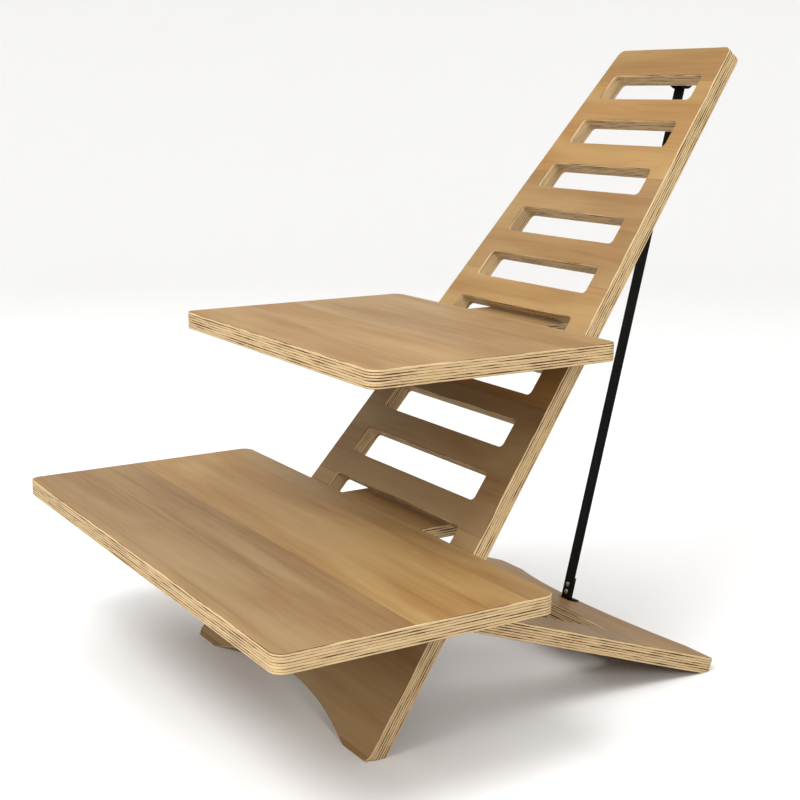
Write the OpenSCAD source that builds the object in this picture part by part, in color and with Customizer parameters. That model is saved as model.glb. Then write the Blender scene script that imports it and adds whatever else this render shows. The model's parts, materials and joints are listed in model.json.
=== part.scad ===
/* [Board] */
// Thickness of the plywood that every board is cut from
board_t = 18; // [17.5:0.5:18.5]
// Thickness of the tongue milled at the back of each shelf
tongue_t = 13.5; // [13:0.5:14]
// Play between a shelf tongue and the slot that holds it
slot_play = 0.35; // [0.2:0.05:0.8]

/* [Back panel] */
// Backward lean of the panel from the vertical, in degrees
lean = 38; // [37:1:39]
// Length of the panel from its feet to its top edge
panel_len = 810; // [808:1:820]
// Width of the panel across its feet
foot_w = 378; // [376:1:390]
// Width of the panel at its top edge
top_w = 176; // [174:1:188]
// Width of the side rail beside the slots, at the feet
rail_low = 48; // [44:1:52]
// Width of the side rail beside the slots, at the top
rail_high = 21; // [20:1:25]
// Distance from one slot to the next
slot_pitch = 61; // [60.5:0.5:61.5]
// Distance from the panel's top edge down to the first slot
top_rail = 37; // [36:0.5:38]
// Width of each flat foot at the bottom of the panel
foot_flat = 46; // [42:1:54]
// Height of the arch between the panel's feet
foot_arch = 27; // [22:1:32]

/* [Shelves] */
// Depth of both shelves in front of the panel
shelf_depth = 275; // [262:1:290]
// Width of the keyboard shelf
keyboard_w = 611; // [590:1:640]
// Width of the laptop shelf
laptop_w = 398; // [390:1:430]
// Width of the tongue behind the keyboard shelf
keyboard_tongue_w = 160; // [150:1:180]
// Width of the tongue behind the laptop shelf
laptop_tongue_w = 134; // [126:1:136]
// Reach of a shelf tongue behind the panel's front face
tongue_reach = 46; // [40:1:50]
// Slot that holds the keyboard shelf, counted from the top
keyboard_slot = 10; // [9:1:10]
// Slot that holds the laptop shelf, counted from the top
laptop_slot = 6; // [2:1:8]

/* [Rear leg] */
// Slope of the leg below the horizontal, in degrees
leg_rake = 19.5; // [19:0.1:20]
// Width of the leg across its rear feet
leg_w = 386; // [380:1:395]
// Width of the leg beside the panel
leg_neck_w = 378; // [360:1:380]
// Width of the opening in the leg
window_w = 276; // [260:1:290]
// Length of the opening along the leg
window_len = 180; // [160:1:190]
// Distance from the leg's rear feet to the opening
window_back = 112; // [106:1:118]
// Height of the arch between the leg's rear feet
leg_arch = 30; // [24:1:32]
// Width of the tongue in front of the leg
leg_tongue_w = 245; // [236:1:247]

/* [Brace] */
// Width of the flat steel bar
bar_w = 14; // [12:1:16]
// Thickness of the flat steel bar
bar_t = 3; // [2.5:0.5:3.5]
// Diameter of the pivot bolt's shank
bolt_d = 6; // [5.5:0.5:6]

/* [Hidden] */

ply = [0.76, 0.56, 0.32];
steel = [0.07, 0.07, 0.075];
zinc = [0.62, 0.63, 0.65];
eps = 0.1;

// Back panel: distances along it are measured up from the lowest edge of its rear face.
slot_count = 11;
leg_slot = slot_count;
slot_h = (tongue_t + board_t * sin(lean)) / cos(lean) + slot_play;
foot_dip = board_t * tan(lean);
panel_corner_r = 9;
slot_corner_r = 4.5;
function slot_top(n) = panel_len - top_rail - slot_pitch * (n - 1);
function panel_half(s) = (foot_w + (top_w - foot_w) * s / panel_len) / 2;
function slot_half(s) = panel_half(s) - rail_low - (rail_high - rail_low) * s / panel_len;
function front_face_y(z) = (z - board_t * sin(lean)) * tan(lean);

// Shelves: level boards, each filling the play of its slot evenly above and below.
shelf_corner_r = 12;
tongue_corner_r = 5;
tongue_root = 20;
panel_gap = 0.5;
function tongue_top(n) = (slot_top(n) - slot_play / 2) * cos(lean);
function shelf_top(n) = tongue_top(n) + (board_t - tongue_t) / 2;
function shelf_back(n) = front_face_y(shelf_top(n) - board_t) - panel_gap;

// Rear leg: distances along it run down and back from the front lower edge of its slot.
leg_sill = slot_top(leg_slot) - slot_h;
leg_start_y = leg_sill * sin(lean);
leg_start_z = board_t * sin(lean) + leg_sill * cos(lean) + 0.2;
leg_heel = leg_start_z / sin(leg_rake);
heel_flat = 12;
leg_end = leg_heel + heel_flat;
leg_top_y = leg_start_y + board_t * sin(leg_rake);
leg_top_z = leg_start_z + board_t * cos(leg_rake);
shoulder = (board_t * cos(lean) - leg_top_y + leg_top_z * tan(lean))
  / (cos(leg_rake) + sin(leg_rake) * tan(lean)) + panel_gap;
leg_tongue_front = 20;
leg_foot_flat = 44;
leg_corner_r = 6;
window_r = 4;

// Brace: a flat bar whose rolled eye turns on a bolt behind the top rail,
// and whose tip stands in an oblong slot near the leg's rear edge.
eye_wall = bar_t;
eye_r = bolt_d / 2 + eye_wall;
pin_clear = 0.05;
pivot_s = panel_len - top_rail / 2;
pivot_out = 14;
pivot_y = board_t * cos(lean) + pivot_s * sin(lean) + pivot_out * cos(lean);
pivot_z = pivot_s * cos(lean) - pivot_out * sin(lean);
tip_slot_v = leg_end - leg_arch - 22;
tip_slot_w = 24;
tip_slot_h = 9;
tip_y = leg_top_y + tip_slot_v * cos(leg_rake) - board_t / 2 * sin(leg_rake);
tip_z = leg_top_z - tip_slot_v * sin(leg_rake) - board_t / 2 * cos(leg_rake);
bar_tilt = atan2(pivot_y - tip_y, pivot_z - tip_z);
bar_len = norm([pivot_y - tip_y, pivot_z - tip_z]) + board_t / 2 - 1;

// Fittings on the brace.
sheet_t = 2;
bracket_w = 60;
bracket_h = 28;
ear_gap = bar_w + 1;
ear_t = 2.5;
ear_r = 9;
screw_x = 21;
screw_s = 7.5;
screw_d = 3.5;
screw_len = 14;
rivet_d = 3;
rivet_gap = 9;
cleat_rise = 26;
cleat_foot = 10;
cleat_w = 20;
foot_slope = leg_rake - bar_tilt;
contact_z = -norm([pivot_y - tip_y, pivot_z - tip_z]) + board_t / 2 / cos(foot_slope);
rivet_heights = [contact_z + 8, contact_z + 8 + rivet_gap];
washer_t = 1.6;
seat = ear_gap / 2 + ear_t + washer_t;
hex_d = 10 / cos(30);
nut_h = 6;

// The whole stand is shifted so that its origin lies under the middle of its outline.
front_y = shelf_back(keyboard_slot) - shelf_depth;
back_y = pivot_y + ear_r;
centre_y = (front_y + back_y) / 2;

// A polygon's corner at b, between a and c, rounded to radius r.
function unit(v) = v / norm(v);
function round_corner(a, b, c, r, steps = 6) =
  let (
    u = unit(a - b), v = unit(c - b),
    half = acos(u * v) / 2,
    centre = b + unit(u + v) * r / sin(half),
    from = b + u * r / tan(half) - centre,
    turn = (180 - 2 * half) * sign(u.y * v.x - u.x * v.y)
  )
  [for (i = [0 : steps])
    let (angle = turn * i / steps)
    centre + [from.x * cos(angle) - from.y * sin(angle), from.x * sin(angle) + from.y * cos(angle)]];

// An outline given as [[x, y], radius] corners, with each corner rounded.
function rounded(corners) =
  let (n = len(corners))
  [for (i = [0 : n - 1])
    let (
      before = corners[(i + n - 1) % n][0],
      here = corners[i][0],
      after = corners[(i + 1) % n][0],
      r = corners[i][1]
    )
    each (r > 0 ? round_corner(before, here, after, r) : [here])];

// Points of a shallow arch of the given half span and height, from +X to -X.
function arch(half_span, rise, base, steps = 28) =
  let (r = (half_span * half_span + rise * rise) / (2 * rise), sweep = asin(half_span / r))
  [for (i = [0 : steps])
    let (angle = sweep * (1 - 2 * i / steps))
    [r * sin(angle), base + r * cos(angle) - (r - rise)]];

module shifted() {
  translate([0, -centre_y, 0]) children();
}

// Panel frame: X across, Y up along the panel's rear face, Z out of its front face.
module on_panel() {
  shifted() translate([0, board_t * cos(lean), 0]) rotate([90 - lean, 0, 0]) children();
}

// Leg frame: X across, Y down along the leg to its rear feet, Z out of its upper face.
module on_leg() {
  shifted() translate([0, leg_start_y, leg_start_z]) rotate([-leg_rake, 0, 0]) children();
}

// Bar frame: the pivot at the origin, Z up along the bar, Y out of its rear face.
module on_bar() {
  shifted() translate([0, pivot_y, pivot_z]) rotate([-bar_tilt, 0, 0]) children();
}

module level_cut() {
  difference() {
    children();
    translate([-500, -500, -60]) cube([1000, 1500, 60]);
  }
}

module slot_outline(n) {
  high = slot_top(n);
  low = high - slot_h;
  polygon(rounded([
    [[slot_half(high), high], slot_corner_r], [[-slot_half(high), high], slot_corner_r],
    [[-slot_half(low), low], slot_corner_r], [[slot_half(low), low], slot_corner_r],
  ]));
}

module panel_outline() {
  low = -foot_dip;
  half_foot = panel_half(low);
  side = concat(
    round_corner([-half_foot, low], [half_foot, low], [top_w / 2, panel_len], panel_corner_r),
    round_corner([half_foot, low], [top_w / 2, panel_len], [-top_w / 2, panel_len], panel_corner_r));
  mirrored = [for (i = [len(side) - 1 : -1 : 0]) [-side[i].x, side[i].y]];
  arch_points = arch(half_foot - foot_flat, foot_arch, low);
  polygon(concat(side, mirrored, [for (i = [len(arch_points) - 1 : -1 : 0]) arch_points[i]]));
}

module back_panel() {
  color(ply) level_cut() on_panel() {
    difference() {
      linear_extrude(board_t) difference() {
        panel_outline();
        for (n = [1 : slot_count]) slot_outline(n);
      }
      for (x = [-screw_x, screw_x], s = [-screw_s, screw_s])
        translate([x, pivot_s + s, -eps])
          cylinder(d = screw_d - 0.6, h = screw_len - sheet_t + eps, $fn = 24);
    }
  }
}

// A level shelf: a full board in front of the panel and a thinner tongue through its slot.
module shelf(n, width, tongue_w) {
  back = shelf_back(n);
  front = back - shelf_depth;
  tongue_end = front_face_y(shelf_top(n)) + tongue_reach;
  deck = rounded([
    [[width / 2, front], shelf_corner_r], [[width / 2, back], shelf_corner_r],
    [[-width / 2, back], shelf_corner_r], [[-width / 2, front], shelf_corner_r],
  ]);
  tongue = rounded([
    [[tongue_w / 2, back - tongue_root], 0], [[tongue_w / 2, tongue_end], tongue_corner_r],
    [[-tongue_w / 2, tongue_end], tongue_corner_r], [[-tongue_w / 2, back - tongue_root], 0],
  ]);
  color(ply) shifted() {
    translate([0, 0, shelf_top(n) - board_t]) linear_extrude(board_t) polygon(deck);
    translate([0, 0, tongue_top(n) - tongue_t]) linear_extrude(tongue_t) polygon(tongue);
  }
}

module keyboard_shelf() {
  shelf(keyboard_slot, keyboard_w, keyboard_tongue_w);
}

module laptop_shelf() {
  shelf(laptop_slot, laptop_w, laptop_tongue_w);
}

module leg_outline() {
  side = rounded([
    [[leg_tongue_w / 2, -leg_tongue_front], tongue_corner_r],
    [[leg_tongue_w / 2, shoulder], 0],
    [[leg_neck_w / 2, shoulder], leg_corner_r],
    [[leg_w / 2, leg_end], leg_corner_r],
    [[0, leg_end], 0], [[0, -leg_tongue_front], 0],
  ]);
  right = [for (p = side) if (p.x > 0) p];
  left = [for (i = [len(right) - 1 : -1 : 0]) [-right[i].x, right[i].y]];
  rear = [for (p = arch(leg_w / 2 - leg_foot_flat, leg_arch, 0)) [p.x, leg_end - p.y]];
  polygon(concat(right, rear, left));
}

module rear_leg() {
  window_end = leg_end - window_back;
  window = rounded([
    [[window_w / 2, window_end], window_r], [[-window_w / 2, window_end], window_r],
    [[-window_w / 2, window_end - window_len], window_r],
    [[window_w / 2, window_end - window_len], window_r],
  ]);
  color(ply) level_cut() on_leg() difference() {
    linear_extrude(board_t) difference() {
      leg_outline();
      polygon(window);
    }
    translate([0, tip_slot_v, -eps]) tip_slot();
  }
}

// The oblong slot for the bar's tip, with round ends.
module tip_slot() {
  reach = (tip_slot_w - tip_slot_h) / 2;
  for (x = [-reach, reach])
    translate([x, 0, 0]) cylinder(d = tip_slot_h, h = board_t + 2 * eps, $fn = 32);
  translate([-reach, -tip_slot_h / 2, 0]) cube([2 * reach, tip_slot_h, board_t + 2 * eps]);
}

module brace_bar() {
  color(steel) on_bar() difference() {
    union() {
      rotate([0, 90, 0]) cylinder(r = eye_r, h = bar_w, center = true, $fn = 48);
      translate([-bar_w / 2, -bar_t / 2, -bar_len]) cube([bar_w, bar_t, bar_len]);
    }
    rotate([0, 90, 0])
      cylinder(r = bolt_d / 2 + pin_clear, h = bar_w + 2 * eps, center = true, $fn = 48);
    for (z = rivet_heights)
      translate([0, 0, z]) rotate([90, 0, 0])
        cylinder(d = rivet_d, h = bar_t + 2 * eps, center = true, $fn = 24);
  }
}

// A thin angle whose upright is riveted to the bar and whose foot rests on the leg, just behind the bar.
module stop_cleat() {
  color(steel) on_bar() difference() {
    union() {
      translate([-bar_w / 2, bar_t / 2, contact_z]) cube([bar_w, sheet_t, cleat_rise]);
      translate([0, 0, contact_z]) rotate([-foot_slope, 0, 0])
        translate([-cleat_w / 2, bar_t / 2 / cos(foot_slope) + 0.02, 0.2])
          cube([cleat_w, cleat_foot, sheet_t]);
    }
    for (z = rivet_heights) translate([0, 0, z]) rotate([-90, 0, 0])
      cylinder(d = rivet_d, h = 3 * sheet_t + bar_t, $fn = 24);
  }
}

module rivet_head() {
  intersection() {
    translate([0, 0, -rivet_d / 2]) sphere(d = 2 * rivet_d, $fn = 32);
    cylinder(d = 2 * rivet_d, h = rivet_d, $fn = 32);
  }
}

module cleat_rivets() {
  color(zinc) on_bar() for (z = rivet_heights) translate([0, 0, z]) {
    translate([0, -bar_t / 2, 0]) rotate([-90, 0, 0])
      cylinder(d = rivet_d - 0.04, h = bar_t + sheet_t, $fn = 24);
    translate([0, -bar_t / 2, 0]) rotate([90, 0, 0]) rivet_head();
    translate([0, bar_t / 2 + sheet_t, 0]) rotate([-90, 0, 0]) rivet_head();
  }
}

module at_pivot() {
  translate([0, pivot_s, -pivot_out]) rotate([0, 90, 0]) children();
}

module brace_bracket() {
  color(steel) on_panel() difference() {
    union() {
      translate([-bracket_w / 2, pivot_s - bracket_h / 2, -sheet_t])
        cube([bracket_w, bracket_h, sheet_t]);
      for (x = [-ear_gap / 2 - ear_t, ear_gap / 2]) {
        translate([x, 0, 0]) at_pivot() cylinder(r = ear_r, h = ear_t, $fn = 48);
        translate([x, pivot_s - ear_r, -pivot_out]) cube([ear_t, 2 * ear_r, pivot_out]);
      }
    }
    at_pivot() cylinder(d = bolt_d + 0.2, h = 2 * ear_gap, center = true, $fn = 48);
    for (x = [-screw_x, screw_x], s = [-screw_s, screw_s]) translate([x, pivot_s + s, -sheet_t - eps])
      cylinder(d = screw_d + 0.3, h = sheet_t + 2 * eps, $fn = 32);
  }
}

// A pan-head wood screw with a cross recess, its head at Z below 0 and its shank above.
module wood_screw() {
  head_h = 2.4;
  difference() {
    union() {
      cylinder(d = screw_d - 0.7, h = screw_len, $fn = 24);
      intersection() {
        translate([0, 0, 2.6]) sphere(r = 5, $fn = 40);
        translate([0, 0, -head_h]) cylinder(d = 2 * screw_d, h = head_h, $fn = 32);
      }
    }
    for (turn = [0, 90]) rotate(turn) translate([-2, -0.4, -head_h - eps]) cube([4, 0.8, 1.4]);
  }
}

module bracket_screws() {
  color(zinc) on_panel() for (x = [-screw_x, screw_x], s = [-screw_s, screw_s])
    translate([x, pivot_s + s, -sheet_t]) wood_screw();
}

module pivot_bolt() {
  color(zinc) on_panel() at_pivot() {
    translate([0, 0, -seat - nut_h - 2]) cylinder(d = bolt_d, h = 2 * seat + nut_h + 2, $fn = 48);
    translate([0, 0, seat]) cylinder(d = hex_d, h = 4, $fn = 6);
  }
}

module pivot_nut() {
  color(zinc) on_panel() at_pivot() difference() {
    union() {
      translate([0, 0, -seat - nut_h + 1.5]) cylinder(d = hex_d, h = nut_h - 1.5, $fn = 6);
      translate([0, 0, -seat - nut_h]) cylinder(d = 9, h = 2, $fn = 40);
    }
    translate([0, 0, -seat - nut_h - eps]) cylinder(d = bolt_d + 0.06, h = nut_h + 2 * eps, $fn = 48);
  }
}

module pivot_washers() {
  color(zinc) on_panel() at_pivot() for (z = [-seat, seat - washer_t]) translate([0, 0, z])
    difference() {
      cylinder(d = 12, h = washer_t, $fn = 48);
      translate([0, 0, -eps]) cylinder(d = bolt_d + 0.4, h = washer_t + 2 * eps, $fn = 48);
    }
}

back_panel();
keyboard_shelf();
laptop_shelf();
rear_leg();
brace_bar();
stop_cleat();
cleat_rivets();
brace_bracket();
bracket_screws();
pivot_bolt();
pivot_nut();
pivot_washers();
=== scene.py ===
import json
import math

import bmesh
import bpy
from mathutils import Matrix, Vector


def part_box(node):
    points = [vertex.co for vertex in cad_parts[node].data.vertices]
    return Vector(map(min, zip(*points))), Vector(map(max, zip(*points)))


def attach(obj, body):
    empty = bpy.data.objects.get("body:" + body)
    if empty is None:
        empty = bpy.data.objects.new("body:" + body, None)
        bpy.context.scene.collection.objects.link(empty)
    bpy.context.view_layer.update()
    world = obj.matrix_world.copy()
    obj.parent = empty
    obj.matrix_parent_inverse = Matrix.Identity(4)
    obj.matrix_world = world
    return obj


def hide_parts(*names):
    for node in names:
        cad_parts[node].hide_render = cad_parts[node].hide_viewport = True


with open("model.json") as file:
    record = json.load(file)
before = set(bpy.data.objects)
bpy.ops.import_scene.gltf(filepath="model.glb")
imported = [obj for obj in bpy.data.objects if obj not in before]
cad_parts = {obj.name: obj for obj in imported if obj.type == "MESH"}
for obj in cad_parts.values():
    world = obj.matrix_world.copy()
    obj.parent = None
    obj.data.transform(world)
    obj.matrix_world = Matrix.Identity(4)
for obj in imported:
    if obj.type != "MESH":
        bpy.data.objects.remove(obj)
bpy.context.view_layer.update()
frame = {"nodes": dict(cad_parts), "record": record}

mm = 0.001
bodyOf = {n: b for b, group in frame["record"]["behaviour"]["bodies"].items() for n in group}
bpy.context.scene.view_settings.view_transform = "Standard"
print("frame loaded:", len(frame["nodes"]), "pieces")


def addNode(tree, kind, **values):
    node = tree.nodes.new(kind)
    for name, value in values.items():
        setattr(node, name, value)
    return node


def link(tree, value, socket):
    # a socket is linked, and a plain number or colour is written into it
    if isinstance(value, bpy.types.NodeSocket):
        tree.links.new(value, socket)
    else:
        socket.default_value = value


def calc(tree, operation, first, second=0.0):
    node = addNode(tree, "ShaderNodeMath", operation=operation)
    link(tree, first, node.inputs[0])
    link(tree, second, node.inputs[1])
    return node.outputs[0]


def blendColours(tree, amount, first, second):
    node = addNode(tree, "ShaderNodeMix", data_type="RGBA")
    link(tree, amount, node.inputs[0])
    link(tree, first, node.inputs[6])
    link(tree, second, node.inputs[7])
    return node.outputs[2]


def remap(tree, value, low, high, newLow=0.0, newHigh=1.0):
    node = addNode(tree, "ShaderNodeMapRange", clamp=True)
    for index, entry in enumerate((value, low, high, newLow, newHigh)):
        link(tree, entry, node.inputs[index])
    return node.outputs[0]


def noise(tree, place, scale, detail=4.0, roughness=0.55, distortion=0.0, stretch=(1, 1, 1)):
    mapping = addNode(tree, "ShaderNodeMapping")
    link(tree, place, mapping.inputs[0])
    mapping.inputs["Scale"].default_value = stretch
    node = addNode(tree, "ShaderNodeTexNoise")
    link(tree, mapping.outputs[0], node.inputs["Vector"])
    node.inputs["Scale"].default_value = scale
    node.inputs["Detail"].default_value = detail
    node.inputs["Roughness"].default_value = roughness
    node.inputs["Distortion"].default_value = distortion
    return node.outputs[0]


def bump(tree, height, strength, distance):
    node = addNode(tree, "ShaderNodeBump")
    node.inputs["Strength"].default_value = strength
    node.inputs["Distance"].default_value = distance
    link(tree, height, node.inputs["Height"])
    return node.outputs[0]


def newMaterial(name):
    material = bpy.data.materials.new(name)
    material.use_nodes = True
    tree = material.node_tree
    return material, tree, tree.nodes["Principled BSDF"]


boards = {
    "back_panel": dict(piece="backPanel", seamPitch=0.128, seamShift=0.37),
    "rear_leg": dict(piece="rearLeg", seamPitch=0.150, seamShift=0.80),
    "laptop_shelf": dict(piece="laptopShelf", seamPitch=0.150, seamShift=0.10),
    "keyboard_shelf": dict(piece="keyboardShelf", seamPitch=0.105, seamShift=0.55),
}
plywood = dict(
    honey=(0.282, 0.161, 0.059, 1),
    amber=(0.205, 0.106, 0.034, 1),
    pale=(0.360, 0.240, 0.104, 1),
    pore=(0.130, 0.060, 0.020, 1),
    edgePly=(0.700, 0.520, 0.285, 1),
    crossPly=(0.430, 0.265, 0.115, 1),
    glueLineAndVoidShade=(0.075, 0.030, 0.010, 1),
    layers=7,
    arris=1.1 * mm,
    seamWidth=0.006,                   # as a share of a strip
    stripTints=(0.84, 1.16),
    stripSaturations=(0.94, 1.08),
    # the widest stretches of a glue line are the short voids, darkened as painted shade
    lineWidths=(0.085, 0.30),          # of a glue line, as a share of a ply
    layerWander=0.22,                  # of a glue line, in plies
    faceRoughness=(0.44, 0.54),
    edgeRoughness=0.66,
    lacquer=0.06,
    lacquerRoughness=0.30,
    shine=0.32,
    relief=0.35 * mm,
    lineDepth=2.5,                     # against the relief of the fibres
)


def boardFrame(node):
    # the turn of a board about X and its two faces' heights, from its widest upward plane
    mesh = frame["nodes"][node].data
    areas = {}
    for face in mesh.polygons:
        if face.normal.z > 0.3:
            turn = round(math.atan2(-face.normal.y, face.normal.z), 4)
            areas[turn] = areas.get(turn, 0) + face.area
    tilt = max(areas, key=areas.get)
    normal = Vector((0, -math.sin(tilt), math.cos(tilt)))
    heights = [vertex.co.dot(normal) for vertex in mesh.vertices]
    return tilt, min(heights), max(heights)


def plywoodMaterial(node, spec):
    tilt, low, high = boardFrame(node)
    material, tree, shader = newMaterial("plywood_" + spec["piece"])
    coords = addNode(tree, "ShaderNodeTexCoord")
    turn = addNode(tree, "ShaderNodeMapping", vector_type="POINT")
    link(tree, coords.outputs["Object"], turn.inputs[0])
    turn.inputs["Rotation"].default_value = (-tilt, 0, 0)
    turn.inputs["Location"].default_value = (0.5, 1.0 + spec["seamShift"], -low)
    place = turn.outputs[0]
    axes = addNode(tree, "ShaderNodeSeparateXYZ")
    link(tree, place, axes.inputs[0])
    along, across, through = axes.outputs

    # veneer strips laid side by side, each with its own tint and its own figure
    strips = addNode(tree, "ShaderNodeTexVoronoi", voronoi_dimensions="1D", feature="F1")
    stripEdge = addNode(tree, "ShaderNodeTexVoronoi", voronoi_dimensions="1D", feature="DISTANCE_TO_EDGE")
    for cell in (strips, stripEdge):
        link(tree, across, cell.inputs["W"])
        cell.inputs["Scale"].default_value = 1 / spec["seamPitch"]
        cell.inputs["Randomness"].default_value = 0.55
    seam = remap(tree, stripEdge.outputs["Distance"], 0.0, plywood["seamWidth"], 1.0, 0.0)
    stripParts = addNode(tree, "ShaderNodeSeparateColor")
    link(tree, strips.outputs["Color"], stripParts.inputs[0])
    stripTint, stripFigure = stripParts.outputs[0], stripParts.outputs[1]
    shift = addNode(tree, "ShaderNodeCombineXYZ")
    link(tree, calc(tree, "MULTIPLY", stripFigure, 7.0), shift.inputs[0])
    link(tree, calc(tree, "MULTIPLY", stripTint, 3.0), shift.inputs[1])
    moved = addNode(tree, "ShaderNodeVectorMath", operation="ADD")
    link(tree, place, moved.inputs[0])
    link(tree, shift.outputs[0], moved.inputs[1])
    figurePlace = moved.outputs[0]

    cloud = noise(tree, figurePlace, 5.0, 3.0, 0.5, 0.6, (0.7, 4.0, 1))
    figure = noise(tree, figurePlace, 9.0, 6.0, 0.62, 0.9, (0.55, 14.0, 1))
    fibre = noise(tree, figurePlace, 60.0, 5.0, 0.7, 0.15, (0.35, 22.0, 22.0))
    pores = noise(tree, figurePlace, 130.0, 2.0, 0.5, 0.0, (0.22, 9.0, 9.0))
    poreMask = remap(tree, pores, 0.66, 0.74)

    wood = blendColours(tree, remap(tree, figure, 0.35, 0.72, 0.0, 0.85), plywood["honey"], plywood["amber"])
    wood = blendColours(tree, remap(tree, cloud, 0.40, 0.70, 0.0, 0.80), wood, plywood["pale"])
    wood = blendColours(tree, remap(tree, fibre, 0.3, 0.75, 0.0, 0.22), wood, plywood["amber"])
    wood = blendColours(tree, calc(tree, "MULTIPLY", poreMask, 0.35), wood, plywood["pore"])
    tinted = addNode(tree, "ShaderNodeHueSaturation")
    link(tree, remap(tree, stripTint, 0.0, 1.0, *plywood["stripTints"]), tinted.inputs["Value"])
    saturation = remap(tree, stripFigure, 0.0, 1.0, *plywood["stripSaturations"])
    link(tree, saturation, tinted.inputs["Saturation"])
    link(tree, wood, tinted.inputs["Color"])
    wood = blendColours(tree, calc(tree, "MULTIPLY", seam, 0.55), tinted.outputs[0], plywood["pore"])

    # the cut edge: thin plies, light and dark in turn, with brown glue lines and short voids; the voids take
    # the glue lines' dark colour as painted shade
    layer = calc(tree, "MULTIPLY", through, plywood["layers"] / (high - low))
    wander = noise(tree, place, 14.0, 2.0, 0.5, 0.0, (1, 1, 0.2))
    wander = calc(tree, "MULTIPLY", calc(tree, "SUBTRACT", wander, 0.5), plywood["layerWander"])
    layer = calc(tree, "ADD", layer, wander)
    number = calc(tree, "FLOOR", layer)
    inLayer = calc(tree, "FRACT", layer)
    fromLine = calc(tree, "SUBTRACT", 0.5, calc(tree, "ABSOLUTE", calc(tree, "SUBTRACT", inLayer, 0.5)))
    layerPlace = addNode(tree, "ShaderNodeCombineXYZ")
    link(tree, along, layerPlace.inputs[0])
    link(tree, across, layerPlace.inputs[1])
    link(tree, calc(tree, "MULTIPLY", calc(tree, "ROUND", layer), 0.37), layerPlace.inputs[2])
    dashes = noise(tree, layerPlace.outputs[0], 21.0, 3.0, 0.62)
    lineWidth = remap(tree, dashes, 0.42, 0.70, *plywood["lineWidths"])
    line = calc(tree, "LESS_THAN", fromLine, lineWidth)
    glueLineAndVoidShadeMask = calc(tree, "MULTIPLY", line, remap(tree, dashes, 0.34, 0.60, 0.60, 1.0))
    odd = calc(tree, "MODULO", number, 2.0)
    endGrain = noise(tree, place, 700.0, 3.0, 0.7, 0.0, (1, 1, 1.6))
    longGrain = noise(tree, place, 90.0, 4.0, 0.65, 0.0, (0.5, 0.5, 9.0))
    streaked = remap(tree, longGrain, 0.35, 0.75, 0.0, 0.65)
    stippled = remap(tree, endGrain, 0.40, 0.70, 0.15, 0.85)
    longPly = blendColours(tree, streaked, plywood["edgePly"], plywood["crossPly"])
    endPly = blendColours(tree, stippled, plywood["edgePly"], plywood["crossPly"])
    edge = blendColours(tree, odd, longPly, endPly)
    # glue lines keep their own dark colour; where they widen into short voids the same dark is painted shade
    edge = blendColours(tree, glueLineAndVoidShadeMask, edge, plywood["glueLineAndVoidShade"])

    facing = addNode(tree, "ShaderNodeVectorMath", operation="DOT_PRODUCT")
    link(tree, coords.outputs["Normal"], facing.inputs[0])
    facing.inputs[1].default_value = (0, -math.sin(tilt), math.cos(tilt))
    onFace = remap(tree, calc(tree, "ABSOLUTE", facing.outputs["Value"]), 0.86, 0.97)
    colour = blendColours(tree, onFace, edge, wood)
    link(tree, colour, shader.inputs["Base Color"])

    faceRoughness = remap(tree, figure, 0.3, 0.75, *plywood["faceRoughness"])
    roughness = addNode(tree, "ShaderNodeMix", data_type="FLOAT")
    link(tree, onFace, roughness.inputs[0])
    roughness.inputs[2].default_value = plywood["edgeRoughness"]
    link(tree, faceRoughness, roughness.inputs[3])
    link(tree, roughness.outputs[0], shader.inputs["Roughness"])
    shader.inputs["Coat Weight"].default_value = plywood["lacquer"]
    shader.inputs["Coat Roughness"].default_value = plywood["lacquerRoughness"]
    shader.inputs["Specular IOR Level"].default_value = plywood["shine"]
    relief = calc(tree, "SUBTRACT", fibre, calc(tree, "MULTIPLY", poreMask, 0.8))
    notFace = calc(tree, "SUBTRACT", 1.0, onFace)
    grooves = calc(tree, "MULTIPLY", calc(tree, "MULTIPLY", glueLineAndVoidShadeMask, notFace), -plywood["lineDepth"])
    height = calc(tree, "ADD", relief, grooves)
    link(tree, bump(tree, height, 0.22, plywood["relief"]), shader.inputs["Normal"])
    return material


def cleanCopy(node):
    # the CAD node's loose triangles as one closed mesh with plain flat faces
    form = bmesh.new()
    form.from_mesh(frame["nodes"][node].data)
    bmesh.ops.remove_doubles(form, verts=form.verts, dist=0.02 * mm)
    bmesh.ops.dissolve_limit(form, angle_limit=math.radians(0.6), verts=form.verts, edges=form.edges)
    return form


def easeEdges(form, radius, segments, sharpest=35):
    # rounds every outer edge sharper than the angle; inner corners stay crisp
    outer = [e for e in form.edges
             if len(e.link_faces) == 2 and e.calc_face_angle_signed(0) > math.radians(sharpest)]
    bmesh.ops.bevel(form, geom=outer, offset=radius, offset_type="OFFSET", segments=segments,
                    profile=0.5, affect="EDGES", clamp_overlap=False)


def finishPiece(form, name, material, node, creaseAngle=40):
    # the mesh is kept inside the CAD node's own box, so that nothing dips below the desk
    low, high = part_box(node)
    for vertex in form.verts:
        vertex.co = [min(max(c, a), b) for c, a, b in zip(vertex.co, low, high)]
    mesh = bpy.data.meshes.new(name)
    form.to_mesh(mesh)
    form.free()
    for face in mesh.polygons:
        face.use_smooth = True
    mesh.set_sharp_from_angle(angle=math.radians(creaseAngle))
    mesh.materials.append(material)
    piece = bpy.data.objects.new(name, mesh)
    bpy.context.scene.collection.objects.link(piece)
    weighted = piece.modifiers.new("weightedNormals", "WEIGHTED_NORMAL")
    weighted.keep_sharp = True
    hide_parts(node)
    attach(piece, bodyOf[node])


for node, spec in boards.items():
    form = cleanCopy(node)
    easeEdges(form, plywood["arris"], 3)
    finishPiece(form, spec["piece"], plywoodMaterial(node, spec), node)
print("boards cut and veneered:", len(boards))


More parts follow.
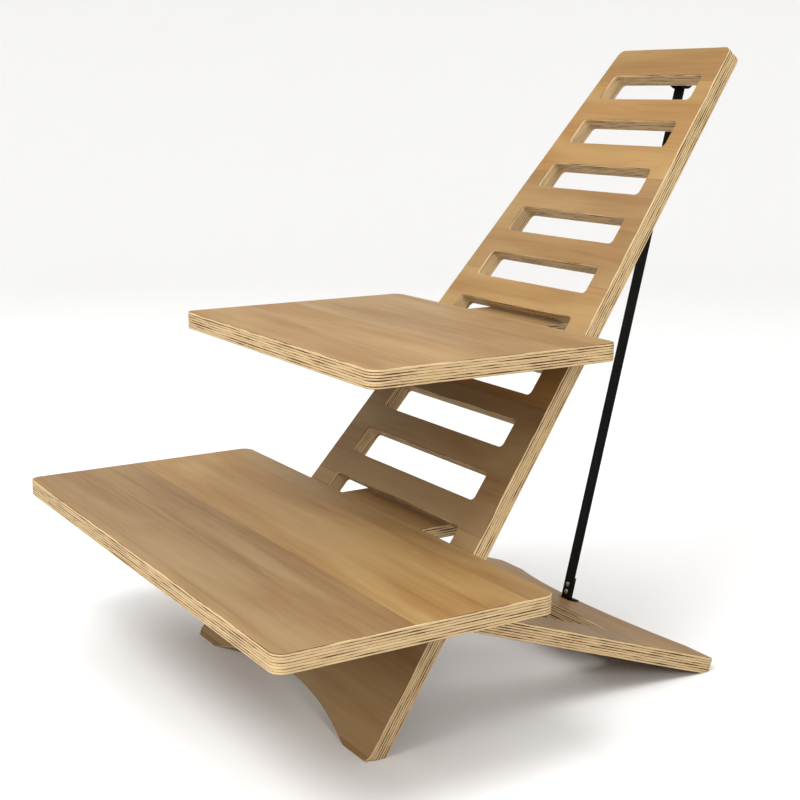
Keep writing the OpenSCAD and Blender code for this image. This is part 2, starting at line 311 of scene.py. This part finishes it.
blackSteel = dict(
    colour=(0.004, 0.004, 0.004, 1), worn=(0.012, 0.011, 0.010, 1),
    roughness=(0.36, 0.50), shine=0.12, peelDepth=0.12 * mm,
)
zincSteel = dict(
    colour=(0.560, 0.570, 0.580, 1), dull=(0.330, 0.335, 0.340, 1),
    roughness=(0.26, 0.42), scratchDepth=0.05 * mm,
)


def powderCoatMaterial():
    material, tree, shader = newMaterial("black_powder_coat")
    place = addNode(tree, "ShaderNodeTexCoord").outputs["Object"]
    peel = noise(tree, place, 900.0, 2.0, 0.5)
    haze = noise(tree, place, 22.0, 4.0, 0.6)
    rubbed = remap(tree, haze, 0.45, 0.8, 0.0, 0.35)
    colour = blendColours(tree, rubbed, blackSteel["colour"], blackSteel["worn"])
    link(tree, colour, shader.inputs["Base Color"])
    link(tree, remap(tree, haze, 0.3, 0.75, *blackSteel["roughness"]), shader.inputs["Roughness"])
    shader.inputs["Specular IOR Level"].default_value = blackSteel["shine"]
    link(tree, bump(tree, peel, 0.18, blackSteel["peelDepth"]), shader.inputs["Normal"])
    return material


def zincMaterial():
    material, tree, shader = newMaterial("zinc_plate")
    place = addNode(tree, "ShaderNodeTexCoord").outputs["Object"]
    blotch = noise(tree, place, 240.0, 4.0, 0.6)
    scratch = noise(tree, place, 400.0, 3.0, 0.6, 0.0, (1, 8, 1))
    dulled = remap(tree, blotch, 0.35, 0.7, 0.0, 0.7)
    colour = blendColours(tree, dulled, zincSteel["colour"], zincSteel["dull"])
    link(tree, colour, shader.inputs["Base Color"])
    link(tree, remap(tree, blotch, 0.3, 0.7, *zincSteel["roughness"]), shader.inputs["Roughness"])
    shader.inputs["Metallic"].default_value = 1.0
    link(tree, bump(tree, scratch, 0.12, zincSteel["scratchDepth"]), shader.inputs["Normal"])
    return material


coated = powderCoatMaterial()
zinc = zincMaterial()

coatedParts = {
    "brace_bar": dict(piece="braceBar", arris=0.6 * mm),
    "stop_cleat": dict(piece="stopCleat", arris=0.4 * mm),
    "brace_bracket": dict(piece="braceBracket", arris=0.4 * mm),
}
platedParts = {
    "pivot_bolt": dict(piece="pivotBolt", arris=0.5 * mm),
    "pivot_nut": dict(piece="pivotNut", arris=0.35 * mm),
    "pivot_washers": dict(piece="pivotWashers", arris=0.25 * mm),
}
for parts, material, slot in ((coatedParts, coated, "black_steel"), (platedParts, zinc, "zinc_steel")):
    for node, spec in parts.items():
        form = cleanCopy(node)
        easeEdges(form, spec["arris"], 2, 50)
        finishPiece(form, spec["piece"], material, node)
print("brace coated and pivot plated:", len(coatedParts) + len(platedParts))


screws = dict(
    headAcross=7 * mm, headHeight=2.35 * mm, domeRadius=5 * mm,
    shankAcross=2.6 * mm, shankLength=13 * mm, threadTurns=9.0,
    recessLength=4 * mm, recessWidth=0.8 * mm, recessDepth=1.3 * mm,
)
rivets = dict(
    headAcross=5.9 * mm, headHeight=1.45 * mm, domeRadius=3.7 * mm,
    shankAcross=2.9 * mm, shankLength=1 * mm, threadTurns=0.0,
    recessLength=1 * mm, recessWidth=0.2 * mm, recessDepth=0.1 * mm,
)


def domedHeadTree():
    # a domed head on a shank, on every point it is given, with a cross recess and a thread if asked for
    headSides, shankSides, coilSteps, ridgeSides = 40, 20, 16, 5
    tree = bpy.data.node_groups.new("domedHeads", "GeometryNodeTree")
    tree.interface.new_socket("Geometry", in_out="INPUT", socket_type="NodeSocketGeometry")
    for name in screws:
        tree.interface.new_socket(name, in_out="INPUT", socket_type="NodeSocketFloat")
    tree.interface.new_socket("turn", in_out="INPUT", socket_type="NodeSocketVector")
    tree.interface.new_socket("recessed", in_out="INPUT", socket_type="NodeSocketBool")
    tree.interface.new_socket("finish", in_out="INPUT", socket_type="NodeSocketMaterial")
    tree.interface.new_socket("Geometry", in_out="OUTPUT", socket_type="NodeSocketGeometry")
    given = addNode(tree, "NodeGroupInput").outputs

    def half(value):
        return calc(tree, "MULTIPLY", value, 0.5)

    def vector(x, y, z):
        node = addNode(tree, "ShaderNodeCombineXYZ")
        for value, socket in zip((x, y, z), node.inputs):
            link(tree, value, socket)
        return node.outputs[0]

    def moved(shape, offset, turned=None):
        node = addNode(tree, "GeometryNodeTransform")
        link(tree, shape, node.inputs["Geometry"])
        link(tree, offset, node.inputs["Translation"])
        if turned is not None:
            node.inputs["Rotation"].default_value = turned
        return node.outputs[0]

    def rod(across, length, sides):
        node = addNode(tree, "GeometryNodeMeshCylinder")
        node.inputs["Vertices"].default_value = sides
        link(tree, half(across), node.inputs["Radius"])
        link(tree, length, node.inputs["Depth"])
        return node.outputs["Mesh"]

    ball = addNode(tree, "GeometryNodeMeshUVSphere")
    ball.inputs["Segments"].default_value = headSides
    ball.inputs["Rings"].default_value = headSides
    link(tree, given["domeRadius"], ball.inputs["Radius"])
    domeMiddle = calc(tree, "SUBTRACT", given["headHeight"], given["domeRadius"])
    dome = moved(ball.outputs["Mesh"], vector(0, 0, domeMiddle))
    rim = rod(given["headAcross"], given["headHeight"], headSides)
    rim = moved(rim, vector(0, 0, half(given["headHeight"])))
    head = addNode(tree, "GeometryNodeMeshBoolean", operation="INTERSECT")
    tree.links.new(dome, head.inputs["Mesh 2"])
    tree.links.new(rim, head.inputs["Mesh 2"])

    bar = addNode(tree, "GeometryNodeMeshCube")
    depth = calc(tree, "MULTIPLY", given["recessDepth"], 2.0)
    link(tree, vector(given["recessLength"], given["recessWidth"], depth), bar.inputs["Size"])
    cut = addNode(tree, "GeometryNodeMeshBoolean", operation="DIFFERENCE")
    tree.links.new(head.outputs[0], cut.inputs["Mesh 1"])
    for turned in ((0, 0, 0), (0, 0, math.pi / 2)):
        arm = moved(bar.outputs["Mesh"], vector(0, 0, given["headHeight"]), turned)
        tree.links.new(arm, cut.inputs["Mesh 2"])
    either = addNode(tree, "GeometryNodeSwitch", input_type="GEOMETRY")
    link(tree, given["recessed"], either.inputs["Switch"])
    tree.links.new(head.outputs[0], either.inputs["False"])
    tree.links.new(cut.outputs[0], either.inputs["True"])

    shank = moved(rod(given["shankAcross"], given["shankLength"], shankSides),
                  vector(0, 0, calc(tree, "MULTIPLY", given["shankLength"], -0.5)))
    coil = addNode(tree, "GeometryNodeCurveSpiral")
    coil.inputs["Resolution"].default_value = coilSteps
    link(tree, given["threadTurns"], coil.inputs["Rotations"])
    link(tree, half(given["shankAcross"]), coil.inputs["Start Radius"])
    link(tree, half(given["shankAcross"]), coil.inputs["End Radius"])
    link(tree, calc(tree, "MULTIPLY", given["shankLength"], -0.8), coil.inputs["Height"])
    ridge = addNode(tree, "GeometryNodeCurvePrimitiveCircle")
    ridge.inputs["Resolution"].default_value = ridgeSides
    link(tree, calc(tree, "MULTIPLY", given["shankAcross"], 0.09), ridge.inputs["Radius"])
    thread = addNode(tree, "GeometryNodeCurveToMesh")
    tree.links.new(coil.outputs[0], thread.inputs["Curve"])
    tree.links.new(ridge.outputs[0], thread.inputs["Profile Curve"])
    thread.inputs["Fill Caps"].default_value = True
    threadDown = moved(thread.outputs[0], vector(0, 0, calc(tree, "MULTIPLY", given["shankLength"], -0.12)))
    threaded = addNode(tree, "GeometryNodeSwitch", input_type="GEOMETRY")
    link(tree, given["recessed"], threaded.inputs["Switch"])
    tree.links.new(threadDown, threaded.inputs["True"])

    whole = addNode(tree, "GeometryNodeJoinGeometry")
    for shape in (either.outputs[0], shank, threaded.outputs[0]):
        tree.links.new(shape, whole.inputs[0])
    spread = addNode(tree, "GeometryNodeInstanceOnPoints")
    link(tree, given["Geometry"], spread.inputs["Points"])
    tree.links.new(whole.outputs[0], spread.inputs["Instance"])
    link(tree, given["turn"], spread.inputs["Rotation"])
    real = addNode(tree, "GeometryNodeRealizeInstances")
    tree.links.new(spread.outputs[0], real.inputs[0])
    finish = addNode(tree, "GeometryNodeSetMaterial")
    tree.links.new(real.outputs[0], finish.inputs["Geometry"])
    link(tree, given["finish"], finish.inputs["Material"])
    tree.links.new(finish.outputs[0], addNode(tree, "NodeGroupOutput").inputs[0])
    return tree


def solidCorners(node):
    # the corners of a CAD node, one list for each of its separate solids
    form = cleanCopy(node)
    seen = set()
    solids = []
    for start in form.verts:
        if start in seen:
            continue
        seen.add(start)
        corners, waiting = [], [start]
        while waiting:
            vertex = waiting.pop()
            corners.append(vertex.co.copy())
            for side in vertex.link_edges:
                other = side.other_vert(vertex)
                if other not in seen:
                    seen.add(other)
                    waiting.append(other)
        solids.append(corners)
    form.free()
    return solids


def setHeads(tree, node, facing, sizes, recessed):
    # one head on each solid, its top level with the solid's own top along the facing direction
    facing = facing.normalized()
    points = []
    for corners in solidCorners(node):
        heights = [co.dot(facing) for co in corners]
        flat = [co - facing * co.dot(facing) for co in corners]
        middle = Vector([(min(c[i] for c in flat) + max(c[i] for c in flat)) / 2 for i in range(3)])
        middle -= facing * middle.dot(facing)
        points.append(middle + facing * (max(heights) - sizes["headHeight"] - 0.01 * mm))
    mesh = bpy.data.meshes.new(node + "Points")
    mesh.from_pydata(points, [], [])
    holder = bpy.data.objects.new(node + "Points", mesh)
    bpy.context.scene.collection.objects.link(holder)
    modifier = holder.modifiers.new("heads", "NODES")
    modifier.node_group = tree
    sockets = {i.name: i.identifier for i in tree.interface.items_tree if i.in_out == "INPUT"}
    for name in sizes:
        modifier[sockets[name]] = sizes[name]
    modifier[sockets["turn"]] = facing.to_track_quat("Z", "X").to_euler()[:]
    modifier[sockets["recessed"]] = recessed
    modifier[sockets["finish"]] = zinc
    graph = bpy.context.evaluated_depsgraph_get()
    made = bpy.data.meshes.new_from_object(holder.evaluated_get(graph))
    bpy.data.objects.remove(holder)
    return made


def headPiece(name, node, facings, sizes, recessed):
    form = bmesh.new()
    for facing in facings:
        made = setHeads(heads, node, facing, sizes, recessed)
        form.from_mesh(made)
        bpy.data.meshes.remove(made)
    finishPiece(form, name, zinc, node, 30)


heads = domedHeadTree()
panelTurn = boardFrame("back_panel")[0]
panelBack = Vector((0, math.sin(panelTurn), -math.cos(panelTurn)))
barLow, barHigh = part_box("brace_bar")
barLean = math.atan2(barHigh.y - barLow.y, barHigh.z - barLow.z)
barFront = Vector((0, -math.cos(barLean), math.sin(barLean)))
headPiece("bracketScrews", "bracket_screws", [panelBack], screws, True)
headPiece("cleatRivets", "cleat_rivets", [barFront, -barFront], rivets, False)
print("screws and rivets set")


studio = dict(
    azimuth=59.18, elevation=13.57, distance=1.56144, target=(-0.07402, -0.0256, 0.23705),
    lens=64.1, sensor=36.0, shift=(0.034, 0.044),
    sky=1.50, aim=(0.0, 0.0, 0.30),
)
bowl = dict(
    flat=3.2, sweep=2.6, wall=3.0, steps=16, turns=96,
    colour=(0.86, 0.86, 0.86, 1),
    bounceColour=(0.54, 0.53, 0.51, 1),    # what it throws back at the boards
)
lamps = dict(
    keyLight=dict(place=(0.7, -1.9, 2.9), size=1.4, power=60),
    frontLight=dict(place=(0.4, -3.0, 1.75), size=1.2, power=26),
    sideLight=dict(place=(2.8, -0.4, 1.5), size=1.0, power=24),
)


def paleBowl():
    # a round floor that curves up into a wall, so that no horizon shows from any side
    flat, sweep, steps, turns = bowl["flat"], bowl["sweep"], bowl["steps"], bowl["turns"]
    profile = [(0.0, 0.0), (flat, 0.0)]
    for step in range(1, steps + 1):
        angle = math.pi / 2 * step / steps
        profile.append((flat + sweep * math.sin(angle), sweep * (1 - math.cos(angle))))
    profile.append((flat + sweep, sweep + bowl["wall"]))
    points, faces = [(0.0, 0.0, 0.0)], []
    for turn in range(turns):
        angle = 2 * math.pi * turn / turns
        points += [(r * math.cos(angle), r * math.sin(angle), z) for r, z in profile[1:]]
    ring = len(profile) - 1
    for turn in range(turns):
        here, there = 1 + turn * ring, 1 + (turn + 1) % turns * ring
        faces.append((0, here, there))
        faces += [(here + i, here + i + 1, there + i + 1, there + i) for i in range(ring - 1)]
    mesh = bpy.data.meshes.new("floor")
    mesh.from_pydata(points, [], faces)
    for face in mesh.polygons:
        face.use_smooth = True
    floor = bpy.data.objects.new("floor", mesh)
    bpy.context.scene.collection.objects.link(floor)
    material, tree, shader = newMaterial("pale_floor")
    place = addNode(tree, "ShaderNodeTexCoord").outputs["Object"]
    mottle = noise(tree, place, 3.0, 4.0, 0.5)
    link(tree, remap(tree, mottle, 0.3, 0.7, 0.80, 0.88), shader.inputs["Roughness"])
    seen = addNode(tree, "ShaderNodeLightPath").outputs["Is Camera Ray"]
    link(tree, blendColours(tree, seen, bowl["bounceColour"], bowl["colour"]), shader.inputs["Base Color"])
    shader.inputs["Specular IOR Level"].default_value = 0.2
    mesh.materials.append(material)


def softLight(name, place, size, power):
    data = bpy.data.lights.new(name, "AREA")
    data.shape = "DISK"
    data.size = size
    data.energy = power
    lamp = bpy.data.objects.new(name, data)
    lamp.location = place
    lamp.rotation_euler = (Vector(studio["aim"]) - Vector(place)).to_track_quat("-Z", "Y").to_euler()
    bpy.context.scene.collection.objects.link(lamp)


def studioCamera():
    turn, rise = math.radians(studio["azimuth"]), math.radians(studio["elevation"])
    back = Vector((math.sin(turn) * math.cos(rise), -math.cos(turn) * math.cos(rise), math.sin(rise)))
    data = bpy.data.cameras.new("studioCamera")
    data.lens, data.sensor_width = studio["lens"], studio["sensor"]
    data.shift_x, data.shift_y = studio["shift"]
    data.clip_end = 200
    camera = bpy.data.objects.new("studioCamera", data)
    camera.location = Vector(studio["target"]) + back * studio["distance"]
    camera.rotation_euler = (-back).to_track_quat("-Z", "Y").to_euler()
    bpy.context.scene.collection.objects.link(camera)
    bpy.context.scene.camera = camera


def whiteSky():
    world = bpy.data.worlds.new("studioWorld")
    world.use_nodes = True
    background = world.node_tree.nodes["Background"]
    background.inputs["Color"].default_value = (1, 1, 1, 1)
    background.inputs["Strength"].default_value = studio["sky"]
    bpy.context.scene.world = world


whiteSky()
paleBowl()
for name, lamp in lamps.items():
    softLight(name, **lamp)
studioCamera()
print("studio lit")
